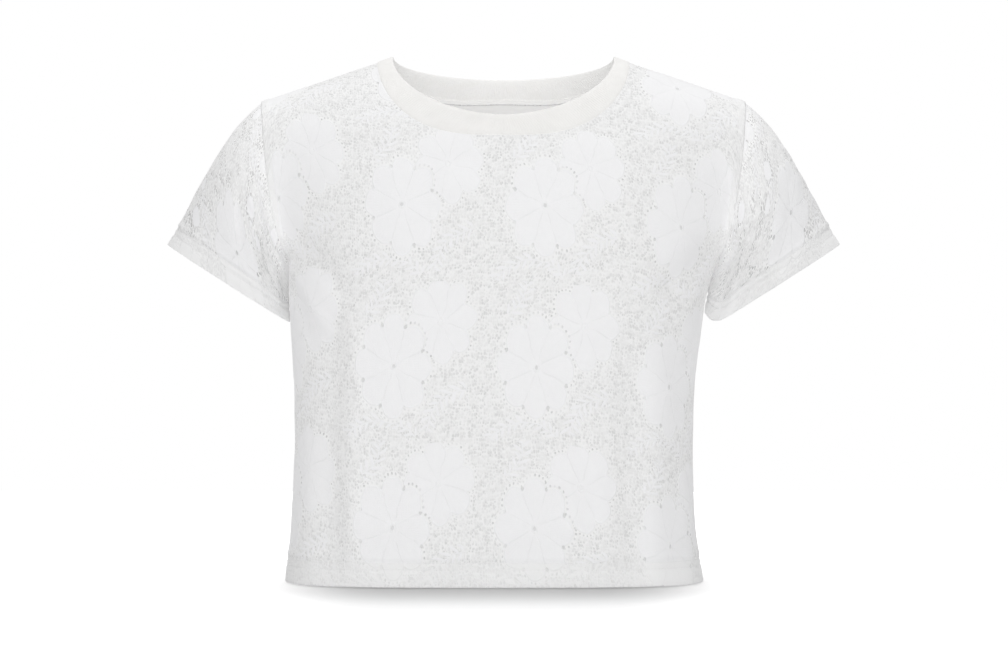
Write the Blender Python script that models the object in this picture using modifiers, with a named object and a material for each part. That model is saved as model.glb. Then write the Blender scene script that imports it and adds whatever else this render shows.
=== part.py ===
# Short-sleeved cropped T-shirt: floral lace panels over a plain knit lining, with a rib collar.
# It stands hollow, as it does on a wearer. +Z is up, the front faces -Y, and +X is the right
# hand of whoever looks at the front. The origin is midway between the two high shoulder points.
# Every panel is a grid of points: its columns run up the cloth and its rows run round the body.

from collections import namedtuple

import bpy
import numpy as np

# ---- cloth, metres ----
LACE_WALL = 0.0012
LINING_WALL = 0.0010
LINING_CLEARANCE = 0.0008        # between the lace and the lining behind it
HEM_LAYERS = 2                   # a turned hem is this many walls thick
RIB_WALL = 0.0018
RIB_PROUD = 0.0010               # how far the rib stands out from the face of the lace
SEAM_GAP = 0.0004
ARMHOLE_GAP = 0.0010             # wider than a seam, because the cloth turns over the shoulder here
COLLAR_GAP = 0.0014

# ---- heights and seams, metres ----
HEM_Z = -0.432
HEM_DEPTH = 0.019
HEM_STEP = 0.0015                # the height over which the wall drops from two layers to one
ARMPIT_Z = -0.168
LINING_FIRST_ROW = 2             # the lining starts at the row above the hem, and stops short of it
LINING_TRIM = {"hem": 0.1, "shoulder": 0.1, "neck": 0.9, "side": 0.03}  # shares of the next step
NECK_HALF, NECK_SIDE_Z = 0.1035, -0.0048   # where the neck seam crosses the shoulder
SHOULDER_TIP_X, SHOULDER_TIP_Z = 0.2005, -0.0380
RIDGE_ROUND = 0.030              # the ridge of the shoulders is a hyperbola that is this round at its top
CUFF_CENTRE = (0.2280, -0.18725)  # x and z
CUFF_TO_TOP = (0.8435, 0.5371)    # unit x and z, from the cuff's centre to its outer corner
CUFF_HALF_WIDTH, CUFF_HALF_DEPTH = 0.0599, 0.0410
CUFF_DEPTH = 0.015
CUFF_LEAD = 0.06                 # the sleeve's last plain row is at least this share short of its hem

# ---- grid ----
LOWER_ROWS = (-0.384, -0.345, -0.305, -0.265, -0.225, -0.195, ARMPIT_Z)
UPPER_ROWS = (0.12, 0.25, 0.38, 0.52, 0.66, 0.80, 0.91, 0.98, 1.0)
COLLAR_ROWS = (0.0, 0.12, 0.38, 0.66, 1.0)
SECTION_STEPS = 720              # chords along which half a section's length is measured

# The columns from the centre to the side seam: each one's share of the half section, and the
# angle round the neckline where it ends, counted from the shoulder. Those at 0 end in the
# shoulder seam.
Column = namedtuple("Column", "share angle")
COLUMNS = (
    Column(0.000, 90), Column(0.080, 72), Column(0.160, 55), Column(0.235, 39),
    Column(0.300, 25), Column(0.355, 14), Column(0.400, 6), Column(0.440, 0),
    Column(0.545, 0), Column(0.645, 0), Column(0.740, 0), Column(0.830, 0),
    Column(0.918, 0), Column(1.000, 0),
)
NECK_SHARE = 0.440
NECK_COLUMNS = 7                 # how many of them end in the neckline on each side of the centre

Section = namedtuple("Section", "z shift half_width front_depth back_depth squareness")
BODY_SECTIONS = (
    Section(HEM_Z, -0.0075, 0.1722, 0.104, 0.098, 3.5),
    Section(-0.393, -0.0083, 0.1672, 0.103, 0.096, 3.4),
    Section(-0.330, -0.0079, 0.1643, 0.103, 0.096, 3.2),
    Section(-0.285, -0.0075, 0.1648, 0.105, 0.097, 3.1),
    Section(-0.252, -0.0070, 0.1668, 0.107, 0.098, 3.0),
    Section(-0.220, -0.0057, 0.1701, 0.110, 0.100, 2.9),
    Section(-0.190, -0.0040, 0.1735, 0.113, 0.103, 2.8),
    Section(ARMPIT_Z, 0.0, 0.1770, 0.114, 0.104, 2.7),
)

# Above the armpits the cloth arches from its section there up to the ridge of the shoulders.
# This is how it leaves the one and meets the other, at the centre and along the armhole.
Guide = namedtuple("Guide", "leave_x leave_y leave_z meet_x meet_y meet_z")
FRONT_ARCH = {
    "centre": Guide(0.0, -0.006, 0.165, 0.0, 0.170, 0.0),
    "armhole": Guide(0.045, -0.232, 0.050, 0.012, 0.232, -0.004),
}
BACK_ARCH = {
    "centre": Guide(0.0, 0.014, 0.165, 0.0, -0.170, 0.0),
    "armhole": Guide(0.045, 0.244, 0.050, 0.012, -0.244, -0.004),
}
# How far up the arch the neckline lies at its centre, and how square it is each way (2 is round).
NeckCut = namedtuple("NeckCut", "rise square_across square_up")
FRONT_NECK = NeckCut(0.43, 2.4, 2.8)
BACK_NECK = NeckCut(0.58, 2.3, 2.3)

# How a sleeve leaves the armhole and meets the cuff, at three places round the arm.
SLEEVE_GUIDES = {
    "front": Guide(0.080, -0.014, -0.060, 0.045, 0.030, -0.100),
    "top": Guide(0.107, 0.0, -0.082, 0.065, 0.0, -0.101),
    "back": Guide(0.080, 0.014, -0.060, 0.045, -0.030, -0.100),
}
# Under the arm each one lies against the body in its own way: the half width of the cuff's lower
# half, how far its lowest point is tucked in and up, and the guide there.
UnderArm = namedtuple("UnderArm", "half_width tuck_x tuck_z guide")
UNDER_ARMS = {
    "sleeve_left": UnderArm(CUFF_HALF_WIDTH, 0.0, 0.0, Guide(0.010, 0.0, -0.050, 0.0, 0.0, -0.050)),
    "sleeve_right": UnderArm(0.0660, -0.0052, 0.0108, Guide(-0.010, 0.0, -0.044, -0.002, 0.0, -0.044)),
}
TUCK_REACH = np.radians(16.0)    # how far round the cuff from its lowest point the tuck has all but gone
SLEEVE_STEPS = (0.0, 0.08, 0.26, 0.46, 0.66, 0.84)

# The collar's rim: half its width, its height at the shoulder, its y and z at the centre front
# and back, and how square it is each way.
Rim = namedtuple("Rim", "half side_z front_y front_z back_y back_z square_x square_y square_z")
COLLAR_RIM = Rim(0.0915, -0.0002, -0.080, -0.0535, 0.058, -0.0146, 1.9, 3.0, 1.85)

# Largest folds, from end to end across a panel: a height under zero is a trough.
Fold = namedtuple("Fold", "from_x from_z to_x to_z half_width height")
FRONT_FOLDS = (
    Fold(-0.122, -0.205, -0.124, -0.425, 0.016, 0.0030),
    Fold(-0.150, -0.215, -0.150, -0.425, 0.014, -0.0028),
    Fold(0.070, -0.240, 0.086, -0.425, 0.014, 0.0026),
    Fold(0.108, -0.230, 0.112, -0.425, 0.014, -0.0026),
    Fold(0.134, -0.200, 0.136, -0.425, 0.014, 0.0024),
    Fold(-0.012, -0.330, -0.008, -0.425, 0.010, -0.0018),
    Fold(-0.176, -0.150, -0.128, -0.196, 0.012, -0.0030),
    Fold(0.176, -0.150, 0.128, -0.200, 0.012, -0.0030),
)
BACK_FOLDS = (
    Fold(-0.116, -0.200, -0.128, -0.425, 0.017, 0.0030),
    Fold(0.112, -0.215, 0.122, -0.425, 0.017, 0.0030),
    Fold(-0.046, -0.260, -0.060, -0.425, 0.016, -0.0024),
    Fold(0.038, -0.240, 0.050, -0.425, 0.016, -0.0026),
    Fold(-0.176, -0.150, -0.124, -0.200, 0.012, -0.0028),
    Fold(0.176, -0.150, 0.126, -0.196, 0.012, -0.0028),
)
# On a sleeve the first number is the angle round the arm from under it, the second the share
# of the way from armhole to cuff.
SLEEVE_FOLDS = (
    Fold(28.0, 0.15, 62.0, 0.95, 16.0, -0.0030),
    Fold(58.0, 0.10, 96.0, 0.80, 15.0, 0.0022),
    Fold(-30.0, 0.15, -66.0, 0.95, 16.0, -0.0030),
    Fold(-60.0, 0.10, -98.0, 0.80, 15.0, 0.0022),
)
SLEEVE_FOLD_UNIT = 100.0         # degrees round the arm that weigh as much as its whole length
FOLD_END_HEIGHT, FOLD_RUN_IN = 0.4, 0.15   # share of a fold's height at its ends, and where it is full
SEAM_FLATNESS = 8                # power of the distance from the middle that flattens folds at a seam

COLOURS = {                       # base colour and roughness
    "lace": ((0.88, 0.88, 0.89, 1.0), 0.75),
    "lining": ((0.86, 0.86, 0.85, 1.0), 0.85),
    "rib": ((0.86, 0.86, 0.83, 1.0), 0.80),
}


def hermite(start, end, leave, meet, share):
    """A cubic from start to end that leaves and arrives along the given tangents."""
    s = np.asarray(share)
    return (
        start * (2 * s**3 - 3 * s**2 + 1)
        + end * (3 * s**2 - 2 * s**3)
        + leave * (s**3 - 2 * s**2 + s)
        + meet * (s**3 - s**2)
    )


def through(places, values, at):
    """A smooth curve through a short table, read at the given places."""
    places, values = np.asarray(places, float), np.asarray(values, float)
    slopes = np.gradient(values, places)
    i = np.clip(np.searchsorted(places, at) - 1, 0, len(places) - 2)
    step = places[i + 1] - places[i]
    share = (at - places[i]) / step
    return hermite(values[i], values[i + 1], slopes[i] * step, slopes[i + 1] * step, share)


def section_at(z):
    """The body's section at a height, between the rows of its table."""
    heights = [row.z for row in BODY_SECTIONS]
    columns = zip(*[row[1:] for row in BODY_SECTIONS])
    return Section(z, *[float(through(heights, column, z)) for column in columns])


def mirrored(values):
    """A list from the centre to one side, made a list from side to side."""
    values = np.asarray(values, float)
    return np.concatenate([-values[:0:-1], values])


def section_points(z, shares, side):
    """Points of a section at signed shares of half its length: |x/w|^n + |y/d|^n = 1."""
    section = section_at(z)
    depth = section.front_depth if side < 0 else section.back_depth
    angle = np.linspace(np.pi, 0.0, SECTION_STEPS + 1)
    power = 2 / section.squareness
    x = section.half_width * np.sign(np.cos(angle)) * np.abs(np.cos(angle)) ** power
    y = depth * np.abs(np.sin(angle)) ** power
    length = np.concatenate([[0.0], np.cumsum(np.hypot(np.diff(x), np.diff(y)))])
    at = (shares + 1) / 2 * length[-1]
    x, y = np.interp(at, length, x), np.interp(at, length, y)
    return np.stack([x + section.shift, side * (y + SEAM_GAP / 2), np.full_like(x, z)], axis=-1)


def ridge_points(shares, side):
    """Points of the shoulders' ridge: a hyperbola through the neck point and the shoulder's tip."""
    bend = (NECK_HALF - SHOULDER_TIP_X * NECK_SHARE) / (NECK_SHARE - NECK_SHARE**2)
    reach = np.abs(shares)
    x = (SHOULDER_TIP_X + bend) * reach - bend * reach**2
    inner, outer = np.hypot(NECK_HALF, RIDGE_ROUND), np.hypot(SHOULDER_TIP_X, RIDGE_ROUND)
    fall = (SHOULDER_TIP_Z - NECK_SIDE_Z) / (outer - inner)
    z = NECK_SIDE_Z + fall * (np.hypot(x, RIDGE_ROUND) - inner)
    return np.stack([x * np.sign(shares), np.full_like(x, side * SEAM_GAP / 2), z], axis=-1)


def arch_points(shares, rise, side):
    """Points above the armpits: on arches from the section there to the ridge, at shares of the rise."""
    arch = FRONT_ARCH if side < 0 else BACK_ARCH
    centre, armhole = np.array(arch["centre"]), np.array(arch["armhole"])
    outside = np.clip((np.abs(shares) - NECK_SHARE) / (1 - NECK_SHARE), 0.0, 1.0)[..., None]
    guide = centre + (armhole - centre) * outside**3
    turned = np.stack([np.sign(shares), np.ones_like(shares), np.ones_like(shares)], axis=-1)
    start, end = section_points(ARMPIT_Z, shares, side), ridge_points(shares, side)
    return hermite(start, end, guide[..., :3] * turned, guide[..., 3:] * turned, rise[..., None])


def upper_rows(side):
    """The rows above the armpits, up to the neckline and the shoulder seams."""
    cut = FRONT_NECK if side < 0 else BACK_NECK
    share = mirrored([column.share for column in COLUMNS])
    angle = np.radians(np.abs(mirrored([column.angle for column in COLUMNS])))
    neck_share = np.sign(share) * NECK_SHARE * np.abs(np.cos(angle)) ** (2 / cut.square_across)
    top_share = np.where(np.abs(share) < NECK_SHARE, neck_share, share)
    top_rise = 1 - (1 - cut.rise) * np.sin(angle) ** (2 / cut.square_up)
    up = np.array(UPPER_ROWS)[:, None]
    drift = up**2 * (3 - 2 * up)
    return arch_points(share + (top_share - share) * drift, top_rise * up, side)


def unit(vectors):
    return vectors / np.linalg.norm(vectors, axis=-1, keepdims=True)


def normals_of(grid, wrap):
    """Unit normals of a grid, from the differences between neighbouring points."""
    if wrap:
        padded = np.concatenate([grid[:, -1:], grid, grid[:, :1]], axis=1)
        across = (padded[:, 2:] - padded[:, :-2]) / 2
    else:
        across = np.gradient(grid, axis=1)
    return unit(np.cross(across, np.gradient(grid, axis=0)))


def fold_heights(folds, across, along):
    """How far each point moves out: a soft ridge or trough along each fold, fading at its ends."""
    height = np.zeros_like(across)
    for fold in folds:
        start = np.array([fold.from_x, fold.from_z])
        run = np.array([fold.to_x, fold.to_z]) - start
        length = np.linalg.norm(run)
        from_start = np.stack([across, along], axis=-1) - start
        share = from_start @ run / length**2
        aside = (from_start[..., 0] * run[1] - from_start[..., 1] * run[0]) / length
        run_in = np.minimum(share, 1 - share) / FOLD_RUN_IN * (1 - FOLD_END_HEIGHT)
        fade = np.clip(FOLD_END_HEIGHT + run_in, 0.0, 1.0)
        height += fold.height * np.exp(-((aside / fold.half_width) ** 2)) * fade**2 * (3 - 2 * fade)
    return height


def panel_grid(name):
    """The outer face of the front or the back, hem first, with its folds."""
    side = -1 if name == "front" else 1
    folds = FRONT_FOLDS if name == "front" else BACK_FOLDS
    heights = (HEM_Z, HEM_Z + HEM_DEPTH, HEM_Z + HEM_DEPTH + HEM_STEP) + LOWER_ROWS
    shares = mirrored([column.share for column in COLUMNS])
    lower = [section_points(z, shares, side) for z in heights]
    grid = np.concatenate([np.array(lower), upper_rows(side)])
    if side > 0:
        grid = grid[:, ::-1]
    flat_at_seams = 1 - np.abs(np.linspace(-1, 1, grid.shape[1])) ** SEAM_FLATNESS
    height = fold_heights(folds, grid[..., 0], grid[..., 2]) * flat_at_seams
    return grid + normals_of(grid, wrap=False) * height[..., None]


def edge_rise(edge, below):
    """Unit directions that leave a grid through its edge, in its surface and square to the edge."""
    along = unit(np.gradient(edge, axis=0))
    rise = edge - below
    return unit(rise - along * (rise * along).sum(axis=1, keepdims=True))


def lining_grid(name):
    """The panel's own points, short of every edge; the lining's wall starts behind the lace."""
    grid = panel_grid(name)[LINING_FIRST_ROW:]
    shoulder = np.abs(grid[-1, :, 1]) < SEAM_GAP
    top_trim = np.where(shoulder, LINING_TRIM["shoulder"], LINING_TRIM["neck"])[:, None]
    grid[0] += (grid[1] - grid[0]) * LINING_TRIM["hem"]
    grid[-1] += (grid[-2] - grid[-1]) * top_trim
    grid[-1, shoulder, 1] += np.sign(grid[-1, shoulder, 1]) * LINING_CLEARANCE
    for edge, inner in ((0, 1), (-1, -2)):
        grid[:, edge] += (grid[:, inner] - grid[:, edge]) * LINING_TRIM["side"]
    return grid


def armhole_ring(front, back):
    """The armhole at +X, from under the arm up the front, over the shoulder and down the back."""
    first = len(front) - len(UPPER_ROWS) - 1
    up, down = front[first:, -1], back[first:, 0][::-1]
    top, under = (up[-1] + down[0]) / 2, (up[0] + down[-1]) / 2
    ring = np.concatenate([[under], up[1:-1], [top], down[1:-1]])
    ring[:, 0] += ARMHOLE_GAP
    return ring


def arm_blend(key, angle, under_guide):
    """A guide's values round the arm: a mean, one wave and two waves through the four places."""
    guides = (under_guide, SLEEVE_GUIDES["front"], SLEEVE_GUIDES["top"], SLEEVE_GUIDES["back"])
    under, front, top, back = (np.array(guide[key])[None] for guide in guides)
    angle = angle[:, None]
    return (
        (under + front + top + back) / 4
        + (under - top) / 2 * np.cos(angle)
        + (front - back) / 2 * np.sin(angle)
        + (under + top - front - back) / 4 * np.cos(2 * angle)
    )


def sleeve_grid(name):
    """The outer face of a sleeve, hem first, each row one ring round the arm."""
    under_arm = UNDER_ARMS[name]
    front, back = panel_grid("front"), panel_grid("back")
    ring = armhole_ring(front, back)
    rise = np.concatenate([[0.0], UPPER_ROWS, UPPER_ROWS[-2::-1]])
    turn = np.where(np.arange(len(rise)) < len(UPPER_ROWS) + 1, rise, 2 - rise)
    angle = np.pi * turn
    from_under = (angle + np.pi) % (2 * np.pi) - np.pi
    half_width = np.where(np.abs(from_under) < np.pi / 2, under_arm.half_width, CUFF_HALF_WIDTH)
    out = -np.cos(angle) * half_width
    tuck = np.exp(-((from_under / TUCK_REACH) ** 2))
    cuff = np.stack([
        CUFF_CENTRE[0] + CUFF_TO_TOP[0] * out + under_arm.tuck_x * tuck,
        -np.sin(angle) * CUFF_HALF_DEPTH,
        CUFF_CENTRE[1] + CUFF_TO_TOP[1] * out + under_arm.tuck_z * tuck,
    ], axis=1)
    leave, meet = (arm_blend(key, angle, under_arm.guide) for key in (slice(0, 3), slice(3, 6)))
    length = np.linalg.norm(cuff - ring, axis=1)[:, None]
    shares = [np.full_like(length, step) for step in SLEEVE_STEPS]
    last = 1 - CUFF_DEPTH / length
    shares = [np.minimum(share, last - CUFF_LEAD) for share in shares]
    shares += [last - HEM_STEP / length, last, np.ones_like(length)]
    grid = np.array([hermite(ring, cuff, leave, meet, share) for share in shares])
    across = np.broadcast_to(np.degrees(from_under) / SLEEVE_FOLD_UNIT, grid.shape[:2])
    along = np.broadcast_to(np.array(shares)[..., 0], grid.shape[:2])
    folds = [
        fold._replace(
            from_x=fold.from_x / SLEEVE_FOLD_UNIT,
            to_x=fold.to_x / SLEEVE_FOLD_UNIT,
            half_width=fold.half_width / SLEEVE_FOLD_UNIT,
        )
        for fold in SLEEVE_FOLDS
    ]
    height = fold_heights(folds, across, along) * np.sqrt(np.sin(np.pi * np.clip(along, 0, 1)))
    grid = grid + normals_of(grid, wrap=True) * height[..., None]
    if name == "sleeve_left":
        grid = (grid * np.array([-1.0, 1.0, 1.0]))[:, ::-1]
    return grid[::-1]


def neck_ring(row):
    """A row of both panels all round the neck: the front's neckline, then the back's the other way."""
    first, last = len(COLUMNS) - 1 - NECK_COLUMNS, len(COLUMNS) + NECK_COLUMNS
    front, back = (panel_grid(name)[row, first:last] for name in ("front", "back"))
    right_point, left_point = (front[0] + back[-1]) / 2, (front[-1] + back[0]) / 2
    return np.concatenate([[right_point], front[1:-1], [left_point], back[1:-1]])


def rim_ring():
    """The collar's rim, at the same angles round the neck as the seam."""
    angle = [90.0 - column.angle for column in COLUMNS[: NECK_COLUMNS + 1]]
    angle = np.radians(mirrored(angle) + 90.0)
    rim, rings = COLLAR_RIM, []
    for dip_y, dip_z in ((rim.front_y, rim.front_z), (rim.back_y, rim.back_z)):
        across = -np.sign(np.cos(angle)) * np.abs(np.cos(angle)) ** (2 / rim.square_x)
        out, down = (np.abs(np.sin(angle)) ** (2 / square) for square in (rim.square_y, rim.square_z))
        z = rim.side_z + (dip_z - rim.side_z) * down
        rings.append(np.stack([rim.half * across, dip_y * out, z], axis=1))
    return np.concatenate([rings[0], rings[1][-2:0:-1]])


def collar_grid():
    """The outer face of the rib collar, seam first: it carries on from the panels and stands up."""
    seam, below, rim = neck_ring(-1), neck_ring(-2), rim_ring()
    rise = edge_rise(seam, below)
    neck_points = [0, 2 * NECK_COLUMNS]
    rise[neck_points] = unit(rim - seam)[neck_points]
    start = seam + rise * COLLAR_GAP
    run = rim - start
    leave = rise * np.linalg.norm(run, axis=1, keepdims=True)
    return np.array([hermite(start, rim, leave, run, share) for share in COLLAR_ROWS])


def make_material(name):
    colour, roughness = COLOURS[name]
    material = bpy.data.materials.new(name)
    material.use_nodes = True
    material.diffuse_color = colour
    shader = material.node_tree.nodes["Principled BSDF"]
    shader.inputs["Base Color"].default_value = colour
    shader.inputs["Roughness"].default_value = roughness
    return material


def grid_faces(index, wrap):
    """Two triangles for each cell; on a panel the diagonals mirror about its middle column."""
    right = np.roll(index, -1, axis=1) if wrap else index[:, 1:]
    left = index if wrap else index[:, :-1]
    a, b, c, d = left[:-1], right[:-1], right[1:], left[1:]
    half = a.shape[1] // 2
    rising = [np.stack(corners, axis=-1)[:, half:] for corners in ((a, b, c), (a, c, d))]
    falling = [np.stack(corners, axis=-1)[:, :half] for corners in ((a, b, d), (b, c, d))]
    return np.concatenate([faces.reshape(-1, 3) for faces in rising + falling])


def make_cloth(name, grid, wall, material, collection, wrap=False, hem_rows=0, behind=0.0):
    """An open sheet through the grid, with its wall inwards from a distance behind the grid.
    Its first rows may be a turned hem."""
    rows, columns = grid.shape[:2]
    index = np.arange(rows * columns).reshape(rows, columns)
    mesh = bpy.data.meshes.new(name)
    mesh.from_pydata(grid.reshape(-1, 3).tolist(), [], grid_faces(index, wrap).tolist())
    mesh.materials.append(material)
    mesh.shade_smooth()
    sheet = bpy.data.objects.new(name, mesh)
    collection.objects.link(sheet)
    solidify = sheet.modifiers.new("Wall", "SOLIDIFY")
    solidify.thickness = wall
    solidify.offset = -1.0 - 2 * behind / wall
    if hem_rows:
        hem = sheet.vertex_groups.new(name="hem")
        hem.add(index[:hem_rows].reshape(-1).tolist(), 1.0, "REPLACE")
        solidify.thickness = wall * HEM_LAYERS
        solidify.vertex_group = "hem"
        solidify.thickness_vertex_group = 1 / HEM_LAYERS
    return sheet


def main():
    for leftover in list(bpy.data.objects):
        bpy.data.objects.remove(leftover, do_unlink=True)
    collection = bpy.data.collections.new("cropped_t_shirt")
    bpy.context.scene.collection.children.link(collection)
    lace, lining, rib = (make_material(name) for name in ("lace", "lining", "rib"))
    for name in ("front", "back"):
        make_cloth(name, panel_grid(name), LACE_WALL, lace, collection, hem_rows=2)
        make_cloth(name + "_lining", lining_grid(name), LINING_WALL, lining, collection,
                   behind=LACE_WALL + LINING_CLEARANCE)
    for name in UNDER_ARMS:
        make_cloth(name, sleeve_grid(name), LACE_WALL, lace, collection, wrap=True, hem_rows=2)
    make_cloth("collar", collar_grid(), RIB_WALL, rib, collection, wrap=True, behind=-RIB_PROUD)


main()
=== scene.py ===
import math
from functools import reduce

import bmesh
import bpy
import numpy as np
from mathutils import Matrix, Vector


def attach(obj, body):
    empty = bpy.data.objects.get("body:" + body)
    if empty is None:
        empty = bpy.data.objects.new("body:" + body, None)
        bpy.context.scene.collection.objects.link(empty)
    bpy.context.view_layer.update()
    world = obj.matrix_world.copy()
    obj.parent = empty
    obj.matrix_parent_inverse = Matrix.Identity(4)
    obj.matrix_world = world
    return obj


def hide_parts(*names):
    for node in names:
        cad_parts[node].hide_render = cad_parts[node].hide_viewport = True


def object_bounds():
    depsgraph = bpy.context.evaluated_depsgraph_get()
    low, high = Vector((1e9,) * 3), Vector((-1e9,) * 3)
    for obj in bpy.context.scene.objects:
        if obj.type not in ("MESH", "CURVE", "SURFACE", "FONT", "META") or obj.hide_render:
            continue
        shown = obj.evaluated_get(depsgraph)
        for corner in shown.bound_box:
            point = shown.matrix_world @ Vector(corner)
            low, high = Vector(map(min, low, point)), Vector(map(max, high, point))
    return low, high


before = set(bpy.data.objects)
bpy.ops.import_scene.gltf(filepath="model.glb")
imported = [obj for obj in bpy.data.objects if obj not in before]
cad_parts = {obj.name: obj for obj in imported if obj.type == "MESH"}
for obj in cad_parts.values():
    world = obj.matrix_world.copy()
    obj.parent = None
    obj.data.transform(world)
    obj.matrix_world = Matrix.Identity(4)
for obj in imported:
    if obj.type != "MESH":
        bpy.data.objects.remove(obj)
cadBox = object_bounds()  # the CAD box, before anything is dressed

print("frame loaded:", ", ".join(sorted(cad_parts)))

# the form that every piece follows, in metres: +Z is up and the front faces -Y
torso = {
    "hemZ": -0.432, "armpitZ": -0.168, "seamGap": 0.0004,
    "neckHalf": 0.1035, "neckSideZ": -0.0048,  # where the neck seam crosses the shoulder
    "tipX": 0.2005, "tipZ": -0.0380, "ridgeRound": 0.030,
    "neckShare": 0.44,  # columns within this share of the half section end in the neckline
    "neckEase": 1.1,  # how the columns crowd towards the neckline's middle
    # one column per section, hem first
    "z":          (-0.432, -0.393, -0.330, -0.285, -0.252, -0.220, -0.190, -0.168),
    "shift":      (-0.0075, -0.0083, -0.0079, -0.0075, -0.0070, -0.0057, -0.0040, 0.0),
    "halfWidth":  (0.1722, 0.1672, 0.1643, 0.1648, 0.1668, 0.1701, 0.1735, 0.1770),
    "frontDepth": (0.104, 0.103, 0.103, 0.105, 0.107, 0.110, 0.113, 0.114),
    "backDepth":  (0.098, 0.096, 0.096, 0.097, 0.098, 0.100, 0.103, 0.104),
    "squareness": (3.5, 3.4, 3.2, 3.1, 3.0, 2.9, 2.8, 2.7),
    "sectionSteps": 721, "pathSteps": 17,  # how finely a section and a path are measured
}

# centre and armhole: how the cloth leaves the armpit level (x, y, z) and meets the shoulder (x, y, z)
halves = {
    "front": {
        "side": -1, "depth": "frontDepth", "neckRise": 0.43, "neckAcross": 2.4, "neckUp": 2.8,
        "centre": (0.0, -0.006, 0.165, 0.0, 0.170, 0.0),
        "armhole": (0.045, -0.232, 0.050, 0.012, 0.232, -0.004),
    },
    "back": {
        "side": 1, "depth": "backDepth", "neckRise": 0.58, "neckAcross": 2.3, "neckUp": 2.3,
        "centre": (0.0, 0.014, 0.165, 0.0, -0.170, 0.0),
        "armhole": (0.045, 0.244, 0.050, 0.012, -0.244, -0.004),
    },
}


def hermite(start, end, leave, meet, s):
    # cubic from start to end: the tangents leave and meet weigh s^3-2s^2+s and s^3-s^2
    return (start * (2 * s**3 - 3 * s**2 + 1) + end * (3 * s**2 - 2 * s**3)
            + leave * (s**3 - 2 * s**2 + s) + meet * (s**3 - s**2))


def smooth(low, high, value):
    # 0 at low, 1 at high, 3t^2-2t^3 between; low may be the greater
    t = np.clip((value - low) / (high - low), 0.0, 1.0)
    return t * t * (3 - 2 * t)


def bell(away, reach):
    # exp(-(away/reach)^2): 1 in the middle, falling to nothing on both sides
    return np.exp(-(away / reach) ** 2)


def through(places, values, at):
    # cubic pieces through a short table, with slopes from its differences
    places, values = np.asarray(places, float), np.asarray(values, float)
    slopes = np.gradient(values, places)
    i = np.clip(np.searchsorted(places, at) - 1, 0, len(places) - 2)
    step = places[i + 1] - places[i]
    return hermite(values[i], values[i + 1], slopes[i] * step, slopes[i + 1] * step,
                   (at - places[i]) / step)


def sectionPoints(z, share, half):
    # a level section |x/w|^n + |y/d|^n = 1, read at signed shares of half its length
    width, depth, n, shift = (float(through(torso["z"], torso[key], z))
                              for key in ("halfWidth", half["depth"], "squareness", "shift"))
    angle = np.linspace(np.pi, 0.0, torso["sectionSteps"])
    x = width * np.sign(np.cos(angle)) * np.abs(np.cos(angle)) ** (2 / n)
    y = depth * np.abs(np.sin(angle)) ** (2 / n)
    length = np.concatenate([[0.0], np.cumsum(np.hypot(np.diff(x), np.diff(y)))])
    at = (share + 1) / 2 * length[-1]
    x, y = np.interp(at, length, x) + shift, np.interp(at, length, y) + torso["seamGap"] / 2
    return np.stack([x, half["side"] * y, np.full_like(x, z)], axis=-1)


def ridgePoints(share, half):
    # the shoulders' ridge: z falls as a hyperbola from the neck point to the shoulder's tip
    neckShare = torso["neckShare"]
    bend = (torso["neckHalf"] - torso["tipX"] * neckShare) / (neckShare - neckShare**2)
    reach = np.abs(share)
    x = (torso["tipX"] + bend) * reach - bend * reach**2
    inner = np.hypot(torso["neckHalf"], torso["ridgeRound"])
    fall = (torso["tipZ"] - torso["neckSideZ"]) / (np.hypot(torso["tipX"], torso["ridgeRound"]) - inner)
    z = torso["neckSideZ"] + fall * (np.hypot(x, torso["ridgeRound"]) - inner)
    return np.stack([x * np.sign(share), np.full_like(x, half["side"] * torso["seamGap"] / 2), z], axis=-1)


def archPoints(share, rise, half):
    # above the armpits: cubic arches from the section there to the ridge
    outside = np.clip((np.abs(share) - torso["neckShare"]) / (1 - torso["neckShare"]), 0.0, 1.0)[..., None]
    centre, armhole = np.array(half["centre"]), np.array(half["armhole"])
    guide = centre + (armhole - centre) * outside**3
    turned = np.stack([np.sign(share), np.ones_like(share), np.ones_like(share)], axis=-1)
    start, end = sectionPoints(torso["armpitZ"], share, half), ridgePoints(share, half)
    return hermite(start, end, guide[..., :3] * turned, guide[..., 3:] * turned, rise[..., None])


def columnTop(share, half):
    # where a column ends, as share and rise: on a superellipse inside neckShare, on the shoulder outside it
    inner = np.clip(1 - np.abs(share) / torso["neckShare"], 0.0, 1.0)
    angle = np.pi / 2 * inner ** torso["neckEase"]
    neck = np.sign(share) * torso["neckShare"] * np.cos(angle) ** (2 / half["neckAcross"])
    rise = 1 - (1 - half["neckRise"]) * np.sin(angle) ** (2 / half["neckUp"])
    return np.where(inner > 0, neck, share), rise


def upperPlace(share, up, half):
    # share and rise of a point that lies up (0 to 1) along the column that starts at share
    topShare, topRise = columnTop(share, half)
    return share + (topShare - share) * smooth(0.0, 1.0, up), topRise * up


def unit(vectors):
    # each vector over its own length
    return vectors / np.maximum(np.linalg.norm(vectors, axis=-1, keepdims=True), 1e-12)


def pathLength(path, axis=0):
    # the distance from each point of a path to the next
    return np.linalg.norm(np.diff(path, axis=axis), axis=-1)


def gridNormals(grid, wrap=False):
    # unit cross product of the differences along the rows and up the columns
    if wrap:
        padded = np.concatenate([grid[:, -1:], grid, grid[:, :1]], axis=1)
        across = padded[:, 2:] - padded[:, :-2]
    else:
        across = np.gradient(grid, axis=1)
    return unit(np.cross(across, np.gradient(grid, axis=0)))


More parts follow.
